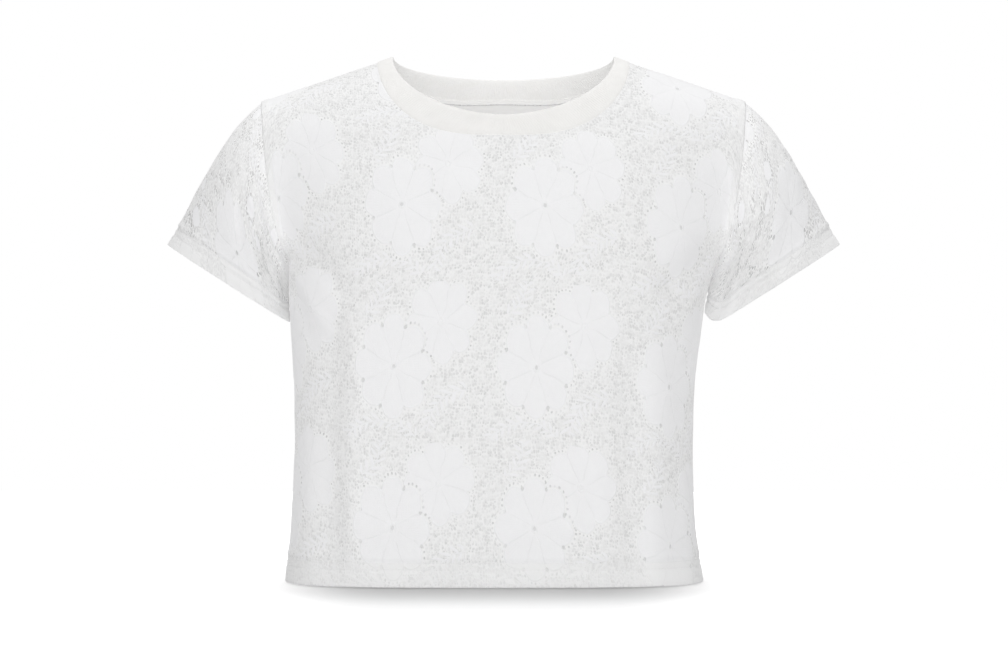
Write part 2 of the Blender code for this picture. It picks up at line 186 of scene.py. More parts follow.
def bodyGrid(name, columns, lowerRows, upperRows, lowest):
    # the outer face of the front or back: sections up to the armpits and arches above them, with
    # each point's place (u, v) on the flat cloth, measured along the rows and up the columns
    half = halves[name]
    share = np.linspace(-1, 1, columns)
    heights = np.linspace(lowest, torso["armpitZ"], lowerRows)
    lower = np.array([sectionPoints(z, share, half) for z in heights])
    up = np.linspace(0, 1, upperRows + 1)[1:, None]
    placeShare, placeRise = upperPlace(share[None], up, half)
    upper = archPoints(placeShare, placeRise, half)
    steps = np.linspace(0, 1, torso["pathSteps"])
    outwards = [archPoints(placeShare * k, placeRise, half) for k in steps]
    upwards = [archPoints(placeShare, placeRise * k, half) for k in steps]
    across = np.concatenate([np.zeros((lowerRows, 1)), np.cumsum(pathLength(lower, 1), 1)], axis=1)
    down = np.cumsum(pathLength(lower[::-1]), 0)[::-1]
    points = np.concatenate([lower, upper])
    u = np.concatenate([across - across[:, columns // 2, None],
                        np.sign(placeShare) * pathLength(outwards).sum(0)])
    v = np.concatenate([-down, np.zeros((1, columns)), pathLength(upwards).sum(0)])
    if half["side"] > 0:
        points, u, v = points[:, ::-1], -u[:, ::-1], v[:, ::-1]
    side = np.abs(u[:, -1:]) - np.abs(u)  # cloth distance to the side seam or armhole
    return {"points": points, "normals": gridNormals(points), "u": u, "v": v, "side": side,
            "top": v[-1] - v, "low": v - v[0],
            "sleeveEdge": (np.arange(len(points)) >= lowerRows - 1)[:, None]}


# the lace's repeat, in millimetres: a large flower and a smaller one behind it, on a net with leaves
lace = {
    "across": 114.0, "down": 129.0,  # from one repeat to the next
    "west": -45.0, "south": -60.0,  # from the large flower's middle to the repeat's left and lower edges
    "petals": 8, "lobeAt": 24.0, "lobeRadius": 10.6, "disc": 23.5,
    # one row per flower, nearest first: middle x, middle y, how wide, how tall, turn in degrees
    "flowers": ((0.0, 0.0, 0.89, 1.20, 0.0), (37.0, 36.0, 0.82, 1.02, 8.0)),
    # one row per spray: middle x, middle y, radius, first angle, last angle, leaf length
    "sprays": ((62.0, -52.0, 34.0, 95.0, 185.0, 7.0), (-8.0, -78.0, 34.0, 40.0, 150.0, 6.0),
               (-40.0, 66.0, 30.0, -60.0, 40.0, 7.0)),
    # one row per small ring: middle x, middle y, radius, holes round it
    "rosettes": ((-12.0, 61.0, 7.0, 14), (-27.0, 49.0, 5.0, 10), (52.0, -40.0, 7.5, 15),
                 (64.0, -13.0, 5.5, 11)),
    "petalPuff": 0.00025, "puffEdge": (0.6, -2.6),  # metres that a petal stands up, rounded over its edge
    # the panels' lace runs askew towards the side seams: by this many metres, between these distances
    "skew": 0.022, "skewFrom": 0.040, "skewTo": 0.230, "skewMiddle": -0.025,
}


def flowerEdge(x, y, flower):
    # mm outside (+) or inside (-) a flower: folded onto one petal, a round lobe joined to a round middle
    middleX, middleY, wide, tall, turn = flower
    x, y = (x - middleX) / wide, (y - middleY) / tall
    petal = 2 * np.pi / lace["petals"]
    angle = np.arctan2(y, x) - np.radians(turn)
    angle = np.abs((angle + petal / 2) % petal - petal / 2)
    radius = np.hypot(x, y)
    lobe = np.hypot(radius * np.cos(angle) - lace["lobeAt"], radius * np.sin(angle)) - lace["lobeRadius"]
    return np.minimum(lobe, radius - lace["disc"])


def laceSkew(u):
    # metres that the rows of motifs have slipped, smooth from skewFrom to skewTo on each side
    aside = u - lace["skewMiddle"]
    return lace["skew"] * np.sign(aside) * smooth(lace["skewFrom"], lace["skewTo"], np.abs(aside))


def petalRelief(u, v):
    # metres that the petals stand up: smooth inwards from the nearer flower's edge
    x = (u * 1000 - lace["west"]) % lace["across"] + lace["west"]
    y = (v * 1000 - lace["south"]) % lace["down"] + lace["south"]
    edge = np.min([flowerEdge(x, y, flower) for flower in lace["flowers"]], axis=0)
    return lace["petalPuff"] * smooth(*lace["puffEdge"], edge)


# folds of the cloth: a ridge (+) or trough (-) along each line
folds = {
    # metres: from x, from z, to x, to z, half width, height
    "front": (
        (-0.119, -0.205, -0.120, -0.425, 0.010, 0.0028),
        (-0.141, -0.215, -0.142, -0.425, 0.013, -0.0028),
        (0.055, -0.240, 0.086, -0.425, 0.014, 0.0026),
        (0.100, -0.230, 0.108, -0.425, 0.013, -0.0026),
        (0.139, -0.215, 0.139, -0.425, 0.014, -0.0018),
        (-0.012, -0.330, -0.008, -0.425, 0.010, -0.0018),
        (-0.176, -0.142, -0.120, -0.205, 0.010, -0.0032),
        (0.176, -0.150, 0.128, -0.200, 0.012, -0.0030),
        # the finer creases
        (-0.172, -0.176, -0.138, -0.232, 0.005, 0.0012),
        (-0.168, -0.196, -0.150, -0.250, 0.004, -0.0009),
        (0.172, -0.172, 0.140, -0.226, 0.005, 0.0012),
        (0.166, -0.198, 0.148, -0.262, 0.004, -0.0009),
        (-0.060, -0.270, -0.075, -0.400, 0.007, -0.0007),
        (0.030, -0.250, 0.040, -0.360, 0.008, -0.0006),
        (-0.095, -0.330, -0.098, -0.420, 0.006, 0.0007),
        (0.058, -0.345, 0.060, -0.420, 0.006, -0.0008),
    ),
    "back": (
        (-0.116, -0.200, -0.128, -0.425, 0.017, 0.0030),
        (0.112, -0.215, 0.122, -0.425, 0.017, 0.0030),
        (-0.046, -0.260, -0.060, -0.425, 0.016, -0.0024),
        (0.038, -0.240, 0.050, -0.425, 0.016, -0.0026),
        (-0.176, -0.150, -0.124, -0.200, 0.012, -0.0028),
        (0.176, -0.150, 0.126, -0.196, 0.012, -0.0028),
        (-0.170, -0.178, -0.140, -0.240, 0.005, 0.0011),
        (0.170, -0.180, 0.142, -0.236, 0.005, 0.0011),
        (-0.090, -0.290, -0.094, -0.410, 0.006, -0.0008),
        (0.004, -0.300, 0.000, -0.420, 0.008, 0.0008),
        (0.084, -0.320, 0.088, -0.420, 0.006, 0.0007),
    ),
    # degrees round the arm from its underside and shares of the way down:
    # from degrees, from share, to degrees, to share, half width in degrees, height in metres
    "sleeve": (
        (28.0, 0.15, 62.0, 0.95, 16.0, -0.0030),
        (58.0, 0.10, 96.0, 0.80, 15.0, 0.0022),
        (-30.0, 0.15, -66.0, 0.95, 16.0, -0.0030),
        (-60.0, 0.10, -98.0, 0.80, 15.0, 0.0022),
        (-14.0, 0.10, -36.0, 0.70, 6.0, 0.0010),
        (118.0, 0.15, 126.0, 0.70, 9.0, -0.0009),
        (-122.0, 0.12, -130.0, 0.66, 9.0, -0.0009),
    ),
    "sleeveLeft": (
        (92.0, 0.25, 12.0, 0.21, 6.0, 0.0034),
        (74.0, 0.08, 10.0, 0.10, 6.0, -0.0034),
        (104.0, 0.30, 70.0, 0.80, 5.0, -0.0010),
        (12.0, 0.35, 24.0, 0.95, 8.0, -0.0018),
    ),
    "sleeveRight": (
        (96.0, 0.36, 52.0, 0.02, 6.0, 0.0022),
        (112.0, 0.58, 38.0, 0.10, 6.0, 0.0018),
        (92.0, 0.52, 34.0, 0.28, 6.0, -0.0016),
        (20.0, 0.25, 34.0, 0.95, 9.0, -0.0022),
    ),
    "endShare": 0.4, "endSlope": 4.0,  # a fold has this share of its height at its ends, and gains it so fast
    "degreesUnit": 100.0,  # degrees round the arm that weigh as much as the way down
}


def foldHeights(rows, across, along):
    # the sum of a bell across each fold's line, which fades towards its ends
    height = np.zeros_like(across)
    for fromX, fromZ, toX, toZ, halfWidth, top in rows:
        runX, runZ = toX - fromX, toZ - fromZ
        length = math.hypot(runX, runZ)
        share = ((across - fromX) * runX + (along - fromZ) * runZ) / length**2
        aside = ((across - fromX) * runZ - (along - fromZ) * runX) / length
        fade = np.clip(folds["endShare"] + np.minimum(share, 1 - share) * folds["endSlope"], 0.0, 1.0)
        height += top * bell(aside, halfWidth) * fade**2 * (3 - 2 * fade)
    return height


def sleeveFolds(rows, degrees, share):
    # the same on the unrolled sleeve, fading at both its ends as the root of a sine
    scale = np.array([folds["degreesUnit"], 1.0, folds["degreesUnit"], 1.0, folds["degreesUnit"], 1.0])
    heights = foldHeights(np.array(rows) / scale, degrees / folds["degreesUnit"], share)
    return heights * np.sqrt(np.sin(np.pi * np.clip(share, 0, 1)))


def waver(u, v, seed, size=0.05, depth=0.00035):
    # eight sine waves of unlike directions and lengths, for cloth that is nowhere quite flat
    random = np.random.default_rng(seed)
    height = np.zeros_like(u)
    for angle, stretch, phase in random.random((8, 3)):
        k = 2 * np.pi / (size * (0.6 + 1.2 * stretch))
        height += np.sin(k * (u * np.cos(angle * np.pi) + v * np.sin(angle * np.pi)) + phase * 6.28)
    return height * depth / 3


def gridFaces(rows, columns, wrapColumns=False, wrapRows=False):
    # four corners for each cell of a grid of vertices, closed round where it wraps
    index = np.arange(rows * columns).reshape(rows, columns)
    if wrapColumns:
        index = np.concatenate([index, index[:, :1]], axis=1)
    if wrapRows:
        index = np.concatenate([index, index[:1]], axis=0)
    return np.stack([index[:-1, :-1], index[:-1, 1:], index[1:, 1:], index[1:, :-1]], axis=-1).reshape(-1, 4)


def meshObject(name, points, faces, material, uv=None, values=None):
    # arrays straight into a mesh; uv is a place on the cloth per vertex, and values hold a number per vertex
    points = np.asarray(points, np.float32).reshape(-1, 3)
    mesh = bpy.data.meshes.new(name)
    mesh.vertices.add(len(points))
    mesh.vertices.foreach_set("co", points.ravel())
    mesh.loops.add(faces.size)
    mesh.loops.foreach_set("vertex_index", faces.astype(np.int32).ravel())
    mesh.polygons.add(len(faces))
    mesh.polygons.foreach_set("loop_start", np.arange(0, faces.size, faces.shape[1], dtype=np.int32))
    mesh.update(calc_edges=True)
    mesh.shade_smooth()
    if uv is not None:
        layer = mesh.uv_layers.new(name="cloth")
        places = np.stack(uv, -1).astype(np.float32).reshape(-1, 2)
        layer.data.foreach_set("uv", places[faces.ravel()].ravel())
    for key, numbers in (values or {}).items():
        layer = mesh.attributes.new(key, "FLOAT", "POINT")
        layer.data.foreach_set("value", np.asarray(numbers, np.float32).ravel())
    mesh.materials.append(material)
    mesh.validate()
    piece = bpy.data.objects.new(name, mesh)
    bpy.context.scene.collection.objects.link(piece)
    return piece


def addWall(piece, thickness):
    # the surface is the outer face, and the wall grows inwards from it
    wall = piece.modifiers.new("wall", "SOLIDIFY")
    wall.thickness = thickness
    wall.offset = -1.0
    wall.use_even_offset = False
    return piece


def dress(piece, slot, *nodes):
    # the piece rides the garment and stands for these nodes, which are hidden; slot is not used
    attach(piece, "root")
    if nodes:
        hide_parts(*nodes)
    evaluated = piece.evaluated_get(bpy.context.evaluated_depsgraph_get()).to_mesh()
    evaluated.calc_loop_triangles()
    print(piece.name, len(evaluated.loop_triangles), "triangles")
    return piece


class Wire:
    # one number inside a node tree: arithmetic on it adds Math nodes
    def __init__(self, tree, socket):
        self.tree, self.socket = tree, socket

    def math(self, operation, *others):
        node = self.tree.nodes.new("ShaderNodeMath")
        node.operation = operation
        for plug, value in zip(node.inputs, (self, *others)):
            if isinstance(value, Wire):
                self.tree.links.new(value.socket, plug)
            else:
                plug.default_value = value
        return Wire(self.tree, node.outputs[0])

    def __add__(self, other):
        return self.math("ADD", other)

    def __sub__(self, other):
        return self.math("SUBTRACT", other)

    def __mul__(self, other):
        return self.math("MULTIPLY", other)

    def size(self):
        return self.math("ABSOLUTE")

    def least(self, other):
        return self.math("MINIMUM", other)

    def most(self, other):
        return self.math("MAXIMUM", other)

    def wrapped(self, low, high):
        # carried into low to high by whole steps
        return self.math("WRAP", high, low)

    def line(self, slope, base):
        # slope times the number, plus base
        return self * slope + base

    def ramp(self, low, high):
        # 0 at low, 1 at high, 3t^2-2t^3 between; low may be the greater
        ends = (low, high, 0.0, 1.0) if low < high else (high, low, 1.0, 0.0)
        plugs = {"Value": self, **dict(zip(("From Min", "From Max", "To Min", "To Max"), ends))}
        node = addNode(self.tree, "ShaderNodeMapRange", plugs, interpolation_type="SMOOTHSTEP")
        return Wire(self.tree, node.outputs["Result"])


def addNode(tree, kind, plugs=None, **settings):
    # a node with its settings, each plug given a wire, a socket or a plain value
    node = tree.nodes.new(kind)
    for key, value in settings.items():
        setattr(node, key, value)
    for plug, value in (plugs or {}).items():
        if isinstance(value, Wire):
            value = value.socket
        if isinstance(value, bpy.types.NodeSocket):
            tree.links.new(value, node.inputs[plug])
        else:
            node.inputs[plug].default_value = value
    return node


def lengthOf(x, y):
    # root of x^2+y^2
    return (x * x + y * y).math("SQRT")


def vectorMath(tree, operation, plugs):
    # one step of arithmetic on a vector
    return addNode(tree, "ShaderNodeVectorMath", plugs, operation=operation).outputs[0]


def clothNoise(tree, place, size, detail=0.0):
    # soft noise over the flat cloth, in patches of this size
    plugs = {"Vector": place, "Scale": 1 / size, "Detail": detail}
    return addNode(tree, "ShaderNodeTexNoise", plugs, noise_dimensions="2D")


def clothCells(tree, place, tall, scale, chance):
    # round cells over the flat cloth, drawn out along it, each a little out of its place by chance
    drawn = vectorMath(tree, "MULTIPLY", {0: place, 1: (1.0, tall, 1.0)})
    plugs = {"Vector": drawn, "Scale": scale, "Randomness": chance}
    return addNode(tree, "ShaderNodeTexVoronoi", plugs, voronoi_dimensions="2D")


def newGroup(name, numbers, outputs):
    # a node group that reads a place and these numbers, and gives out numbers
    group = bpy.data.node_groups.new(name, "ShaderNodeTree")
    group.interface.new_socket(name="Place", in_out="INPUT", socket_type="NodeSocketVector")
    for label, value in numbers.items():
        plug = group.interface.new_socket(name=label, in_out="INPUT", socket_type="NodeSocketFloat")
        plug.default_value = value
    for label in outputs:
        group.interface.new_socket(name=label, in_out="OUTPUT", socket_type="NodeSocketFloat")
    return group, group.nodes.new("NodeGroupInput"), group.nodes.new("NodeGroupOutput")


# a flower's details, in millimetres: a pair is where a mask begins and where it is full
petals = {
    "holeTurn": 18.0,  # degrees between the holes round a lobe
    "holeCircle": 12.4, "holeOut": 1.7, "hole": (1.25, 0.55),
    "notchAlong": 26.6, "notchAside": 11.0, "notch": (1.8, 0.9),  # the hole between two lobes
    "eyelet": (1.9, 1.0), "ringAt": 2.4, "ring": (1.0, 0.3),  # the hole in its middle, and what edges it
    "lineCount": 26.0, "lineFrom": (3.0, 9.0), "lineInside": (-1.0, -2.5),  # they spread down the petals
    "rimInside": 0.6, "rim": (1.1, 0.3), "faceRim": (0.3, 0.7), "face": (0.3, -0.8),
    "groove": (1.0, 0.2), "grooveFrom": (3.0, 8.0), "grooveTo": (27.0, 25.0),  # between two petals
    "heights": (0.03, 0.08, 0.2, -0.10),  # of the lines, the rim, the ring and the groove
}


def wireFlower(x, y, flower):
    # the same flower as flowerEdge, in nodes, with the holes round it and the lines down its petals
    middleX, middleY, wide, tall, turn = flower
    x, y = (x - middleX) * (1 / wide), (y - middleY) * (1 / tall)
    petal = 2 * math.pi / lace["petals"]
    angle = (y.math("ARCTAN2", x) - math.radians(turn)).wrapped(-petal / 2, petal / 2).size()
    radius = lengthOf(x, y)
    along, aside = radius * angle.math("COSINE"), radius * angle.math("SINE")
    fromLobe = along - lace["lobeAt"]
    edge = (lengthOf(fromLobe, aside) - lace["lobeRadius"]).least(radius - lace["disc"])
    step = math.radians(petals["holeTurn"])
    roundLobe = aside.math("ARCTAN2", fromLobe).wrapped(-step / 2, step / 2) * petals["holeCircle"]
    lines = (angle * petals["lineCount"]).math("PINGPONG", 1.0) * radius.ramp(*petals["lineFrom"])
    rim = (edge + petals["rimInside"]).size().ramp(*petals["rim"])
    ring = (radius - petals["ringAt"]).size().ramp(*petals["ring"])
    groove = (aside - along * math.tan(petal / 2)).size().ramp(*petals["groove"])
    groove = groove * radius.ramp(*petals["grooveTo"]) * radius.ramp(*petals["grooveFrom"])
    heights = [mask * high for mask, high in zip((lines, rim, ring, groove), petals["heights"])]
    return {
        "edge": edge, "groove": groove, "relief": reduce(Wire.__add__, heights),
        "holes": lengthOf(edge - petals["holeOut"], roundLobe).ramp(*petals["hole"]),
        "notch": lengthOf(along - petals["notchAlong"], aside - petals["notchAside"]).ramp(*petals["notch"]),
        "eyelet": radius.ramp(*petals["eyelet"]),
        "face": edge.ramp(*petals["face"]) * rim.line(*petals["faceRim"]),
        "lines": lines * edge.ramp(*petals["lineInside"]),
    }


# leaves along an arc, in millimetres: half their spacing, how they slant and alternate, and their form
leaves = {
    "spacing": 3.2, "slant": 0.8, "alternate": 1.6, "narrow": 0.72, "high": 2.2, "size": 1.05, "stem": 0.55,
    "mask": (0.35, -0.25), "ends": 4,  # degrees over which a spray fades at both ends
}


def wireSpray(x, y, spray):
    # leaves on both sides of an arc: slanting ellipses, evenly spaced, by turns left and right
    middleX, middleY, radius, first, last, leaf = spray
    x, y = x - middleX, y - middleY
    out = lengthOf(x, y) - radius
    angle = y.math("ARCTAN2", x)
    within = (angle.ramp(math.radians(first), math.radians(first + leaves["ends"]))
              * angle.ramp(math.radians(last), math.radians(last - leaves["ends"])))
    aside = out.size()
    along = angle * radius - aside * leaves["slant"] + out.math("SIGN") * leaves["alternate"]
    along = along.wrapped(-leaves["spacing"], leaves["spacing"]) * leaves["narrow"]
    leaflet = lengthOf(along, (aside - leaf / 2) * (leaves["high"] / leaf)) - leaves["size"]
    return leaflet.least(aside - leaves["stem"]).ramp(*leaves["mask"]) * within


disc = {"holeOut": 1.2, "hole": (1.35, 0.6), "face": (0.2, -0.6)}  # the small rings, in millimetres


def wireRosette(x, y, rosette):
    # a small disc with holes round it: the holes' mask and the disc's
    middleX, middleY, radius, count = rosette
    x, y = x - middleX, y - middleY
    edge = lengthOf(x, y) - radius
    around = y.math("ARCTAN2", x).wrapped(-math.pi / count, math.pi / count) * radius
    return lengthOf(edge - disc["holeOut"], around).ramp(*disc["hole"]), edge.ramp(*disc["face"])


# the whole pattern: sizes and masks in millimetres; how open a part is runs from 0 for cloth to 1 for a hole
net = {
    "drift": (5.0, 5.0, 0.0), "driftPatch": 22.0, "driftDetail": 2.0,  # the knit pulls the motifs out of true
    "cell": 2.0, "cellTall": 0.72, "cellChance": 0.8, "wide": (0.9, 0.5),  # the net hangs longer than wide
    "boldPatch": 16.0, "bold": (0.40, 0.62),  # some stretches of an outline have hardly any holes
    "thinPatch": 7.0, "thin": (0.36, 0.62),  # denser and thinner places in the net
    "clearOfFlowers": (2.6, 3.4), "clearOfLeaves": (0.6, 0.2), "outside": (0.8, 1.6),
    "hole": (0.24, -0.12), "thread": (-0.05, 0.25),
    # how open: a slope and a base, on each hole's own chance or on the bold and thin patches
    "netOpen": (0.30, 0.15), "netThin": (0.7, 0.4), "netSmall": (0.9, -0.55),
    "holesOpen": (0.55, 0.20), "holesBold": (0.6, 0.4), "notchBold": (0.35, 0.15), "grooveBold": (0.06, 0.04),
    "eyeletOpen": 0.45, "linesOpen": 0.05,
    "nearRelief": (0.4, -0.4), "farRelief": (0.6, -0.2),
    "leafHigh": 0.25, "threadHigh": 0.16, "petalHigh": 0.22, "streakHigh": 0.012, "streaks": (2.7, 4.1),
    "farAway": 100.0,
}


def makeLaceGroup():
    # the repeat, drawn a little askew: flowers over leaves over a net of cells, each part by its distance
    group, given, result = newGroup("lacePattern", {"Net Hole": 0.36, "Small Motifs": 0.0},
                                    ("Open", "Petal", "Height"))
    place = vectorMath(group, "SCALE", {0: given.outputs["Place"], "Scale": 1000.0})
    drift = clothNoise(group, place, net["driftPatch"], net["driftDetail"]).outputs["Color"]
    askew = vectorMath(group, "MULTIPLY_ADD", {0: drift, 1: net["drift"], 2: place})
    parts = addNode(group, "ShaderNodeSeparateXYZ", {0: askew}).outputs
    x = Wire(group, parts["X"]).wrapped(lace["west"], lace["west"] + lace["across"])
    y = Wire(group, parts["Y"]).wrapped(lace["south"], lace["south"] + lace["down"])
    near, far = (wireFlower(x, y, flower) for flower in lace["flowers"])
    small = Wire(group, given.outputs["Small Motifs"])
    large = small.line(-1.0, 1.0)  # where the small motifs are, the second flower isn't
    far["edge"] = far["edge"] + small * net["farAway"]
    outsideNear = near["edge"].ramp(*net["outside"])
    both = {key: near[key].most(far[key] * large * outsideNear)
            for key in ("holes", "groove", "lines", "face")}
    discHoles, discs = (reduce(Wire.most, masks) * small
                        for masks in zip(*(wireRosette(x, y, row) for row in lace["rosettes"])))
    leaf = reduce(Wire.most, [wireSpray(x, y, spray) for spray in lace["sprays"]]).most(discs)
    cells = clothCells(group, askew, net["cellTall"], 1 / net["cell"], net["cellChance"])
    chance = addNode(group, "ShaderNodeSeparateXYZ", {0: cells.outputs["Color"]}).outputs
    wide, vary = Wire(group, chance["X"]).line(*net["wide"]), Wire(group, chance["Y"])
    fromHole = Wire(group, cells.outputs["Distance"]) - Wire(group, given.outputs["Net Hole"]) * wide
    clear = near["edge"].ramp(*net["clearOfFlowers"]) * far["edge"].ramp(*net["clearOfFlowers"])
    bare = clear * leaf.ramp(*net["clearOfLeaves"])
    bold, thin = (Wire(group, clothNoise(group, place, net[key + "Patch"]).outputs["Fac"]).ramp(*net[key])
                  for key in ("bold", "thin"))
    netOpen = (fromHole.ramp(*net["hole"]) * bare * vary.line(*net["netOpen"]) * thin.line(*net["netThin"])
               * (small * bold.line(*net["netSmall"]) + 1.0))
    holes = both["holes"].most(discHoles) * vary.line(*net["holesOpen"]) * bold.line(*net["holesBold"])
    isOpen = reduce(Wire.most, [
        netOpen, holes, near["notch"] * bold.line(*net["notchBold"]), near["eyelet"] * net["eyeletOpen"],
        both["groove"] * bold.line(*net["grooveBold"]), both["lines"] * (vary * net["linesOpen"])])
    relief = (near["relief"] * near["edge"].ramp(*net["nearRelief"])
              + far["relief"] * far["edge"].ramp(*net["farRelief"]) * outsideNear)
    threads = fromHole.ramp(*net["thread"]) * bare * net["threadHigh"]
    fine, finer = net["streaks"]
    streaks = ((x * fine).math("SINE") + x.line(finer, 1.0).math("SINE")) * both["face"] * net["streakHigh"]
    height = relief + leaf * net["leafHigh"] * clear + threads + both["face"] * net["petalHigh"] + streaks
    outputs = {"Open": isOpen, "Petal": both["face"].most(leaf * clear), "Height": height * 0.001}
    for label, wire in outputs.items():
        group.links.new(wire.socket, result.inputs[label])
    return group


grain = {
    "tall": 0.55, "cellChance": 0.35, "stitchEdge": (0.75, 0.1),
    "mottle": 55.0, "mottleDetail": 2.0, "shade": (0.3, 0.7),
}


def makeGrainGroup():
    # a knitted face: rows of small v shapes, as stretched cells of noise
    group, given, result = newGroup("knitGrain", {"Stitches": 900.0, "Depth": 0.0001}, ("Height", "Shade"))
    place = given.outputs["Place"]
    cells = clothCells(group, place, grain["tall"], given.outputs["Stitches"], grain["cellChance"])
    plugs = {"Vector": place, "Scale": grain["mottle"], "Detail": grain["mottleDetail"]}
    mottle = addNode(group, "ShaderNodeTexNoise", plugs)
    bumps = Wire(group, cells.outputs["Distance"]).ramp(*grain["stitchEdge"])
    shade = Wire(group, mottle.outputs["Fac"]).ramp(*grain["shade"])
    group.links.new((bumps * Wire(group, given.outputs["Depth"])).socket, result.inputs["Height"])
    group.links.new(shade.socket, result.inputs["Shade"])
    return group


finish = {
    "lace": {"net": (0.900, 0.900, 0.900), "petal": (0.900, 0.900, 0.912), "rough": 0.75,
             "deep": (0.62, 0.62, 0.61), "holeShadeShare": 0.35,  # the painted shade down in a hole, and how much of it an open place takes
             "unlinedFrom": (0.5, 0.7), "doubledFrom": (0.15, 0.3),  # how airy unlined and single lace are
             "stitches": 1300.0, "depth": 0.00006},
    "lining": {"low": (0.85, 0.85, 0.85), "high": (0.88, 0.88, 0.88), "rough": 0.85,
               "stitches": 1100.0, "depth": 0.00008},
    "rib": {"low": (0.852, 0.844, 0.828), "high": (0.876, 0.868, 0.853), "rough": 0.85,
            "stitches": 1000.0, "depth": 0.00001},
    "thread": {"low": (0.84, 0.84, 0.84), "high": (0.90, 0.90, 0.90), "rough": 0.55,
               "stitches": 2500.0, "depth": 0.00003},
    "sheen": 0.15, "gloss": 0.25,
}

laceGroup, grainGroup = makeLaceGroup(), makeGrainGroup()


def newMaterial(name, rough, sheen):
    # a matt shader, ready to give off a painted glow
    material = bpy.data.materials.new(name)
    material.use_nodes = True
    shader = material.node_tree.nodes["Principled BSDF"]
    numbers = {"Roughness": rough, "Sheen Weight": sheen, "Specular IOR Level": finish["gloss"],
               "Emission Strength": 1.0}
    for plug, value in numbers.items():
        shader.inputs[plug].default_value = value
    return material, material.node_tree, shader


def addEffect(tree, group, numbers):
    # a node group that follows the cloth, with its own numbers
    place = addNode(tree, "ShaderNodeUVMap", uv_map="cloth").outputs["UV"]
    return addNode(tree, "ShaderNodeGroup", {"Place": place, **numbers}, node_tree=group).outputs


def newCloth(name, look):
    # a matt shader with sheen, the knit's grain, and a painted glow from the numbers each piece carries, in
    # place of light that thin cloth would let through
    material, tree, shader = newMaterial(name, look["rough"], finish["sheen"])
    daylight = addNode(tree, "ShaderNodeAttribute", attribute_name="daylight")
    tree.links.new(daylight.outputs["Fac"], shader.inputs["Emission Color"])
    numbers = {"Stitches": look["stitches"], "Depth": look["depth"]}
    return material, tree, shader, addEffect(tree, grainGroup, numbers)


def mixColour(tree, factor, low, high):
    # low at 0, high at 1, in proportion between; each end is a colour or a socket
    ends = {plug: (*end, 1.0) if isinstance(end, tuple) else end for plug, end in (("A", low), ("B", high))}
    return addNode(tree, "ShaderNodeMix", {"Factor": factor, **ends}, data_type="RGBA").outputs["Result"]


def surfaceLook(tree, shader, colour, height):
    # colour, and a bump from a height in metres
    bump = addNode(tree, "ShaderNodeBump", {"Strength": 1.0, "Distance": 1.0, "Height": height})
    tree.links.new(colour, shader.inputs["Base Color"])
    tree.links.new(bump.outputs["Normal"], shader.inputs["Normal"])


def makeLaceMaterial():
    # the lace pattern: a hole is see-through by how open it is times how airy the cloth is, and painted
    # darker by how open it is
    look = finish["lace"]
    material, tree, shader, knit = newCloth("laceCloth", look)
    airy = Wire(tree, addNode(tree, "ShaderNodeAttribute", attribute_name="airy").outputs["Fac"])
    pattern = addEffect(tree, laceGroup, {"Small Motifs": airy.ramp(*look["unlinedFrom"])})
    isOpen = Wire(tree, pattern["Open"])
    petal = Wire(tree, pattern["Petal"]) * airy.ramp(*look["doubledFrom"])  # doubled lace hides its motifs
    cloth = mixColour(tree, petal, look["net"], look["petal"])
    tree.links.new((isOpen * airy).line(-1.0, 1.0).socket, shader.inputs["Alpha"])
    # painted shade: open places are darkened towards the deep colour, as shade down in a hole
    surfaceLook(tree, shader, mixColour(tree, isOpen * look["holeShadeShare"], cloth, look["deep"]),
                Wire(tree, pattern["Height"]) + Wire(tree, knit["Height"]))
    return material


def makePlainMaterial(name):
    # plain knit: two shades of one colour, mottled, and its grain
    look = finish[name]
    material, tree, shader, knit = newCloth(name, look)
    surfaceLook(tree, shader, mixColour(tree, knit["Shade"], look["low"], look["high"]), knit["Height"])
    return material


laceCloth = makeLaceMaterial()
liningCloth, ribCloth, threadCloth = (makePlainMaterial(name) for name in ("lining", "rib", "thread"))
print("materials made")

panel = {
    "columns": 191, "lowerRows": 120, "upperRows": 92, "wall": 0.0005,
    "patternAt": {"front": (-0.0355, -0.043), "back": (0.0200, -0.060)},  # metres that the repeat is moved
    "waverSeed": {"front": 3, "back": 7}, "waverEnds": 0.03, "flatSides": 8, "puffEnds": 0.006,
    "seamDip": 0.0003, "seamReach": 0.0022, "allowance": 0.0030,  # cloth turned in at a seam
    "stripWide": 0.0075, "stripHigh": 0.0008, "stripEdge": 0.001,  # the allowance that shows along an armhole
    "hemDeep": 0.0195, "hemGap": 0.0012, "foldSteps": 6,
    "airy": 0.38, "airyDouble": 0.12,  # how open the holes look, over the lining and where the lace is double
    # painted glow towards the side seams, how far in it reaches, and how far above the armpits
    "daylight": 0.10, "daylightReach": 0.085, "daylightAbove": 0.060,
    "daylightArmpit": 0.07, "armpitReach": 0.030, "armpitEnds": -0.260,  # more painted glow under the arms, to this height
    "stitchAt": (0.0137, 0.0188), "stitchDip": 0.0008, "stitchReach": 0.0014,
    "ridgeHigh": 0.0006, "ridgeReach": 0.0018, "ridgeFrom": 0.0032,
}


def turnSeams(points, u, v, depth, sides):
    # one more row or column past each seam, turned in square to the cloth
    normals = gridNormals(points)
    points = np.concatenate([points, points[-1:] - normals[-1:] * depth])
    u, v = np.concatenate([u, u[-1:]]), np.concatenate([v, v[-1:] + depth])
    if sides:
        normals = np.concatenate([normals, normals[-1:]])
        left, right = (points[:, end] - normals[:, end] * depth for end in (slice(0, 1), slice(-1, None)))
        points = np.concatenate([left, points, right], 1)
        u = np.concatenate([u[:, :1] - depth, u, u[:, -1:] + depth], 1)
        v = np.concatenate([v[:, :1], v, v[:, -1:]], 1)
    return points, u, v


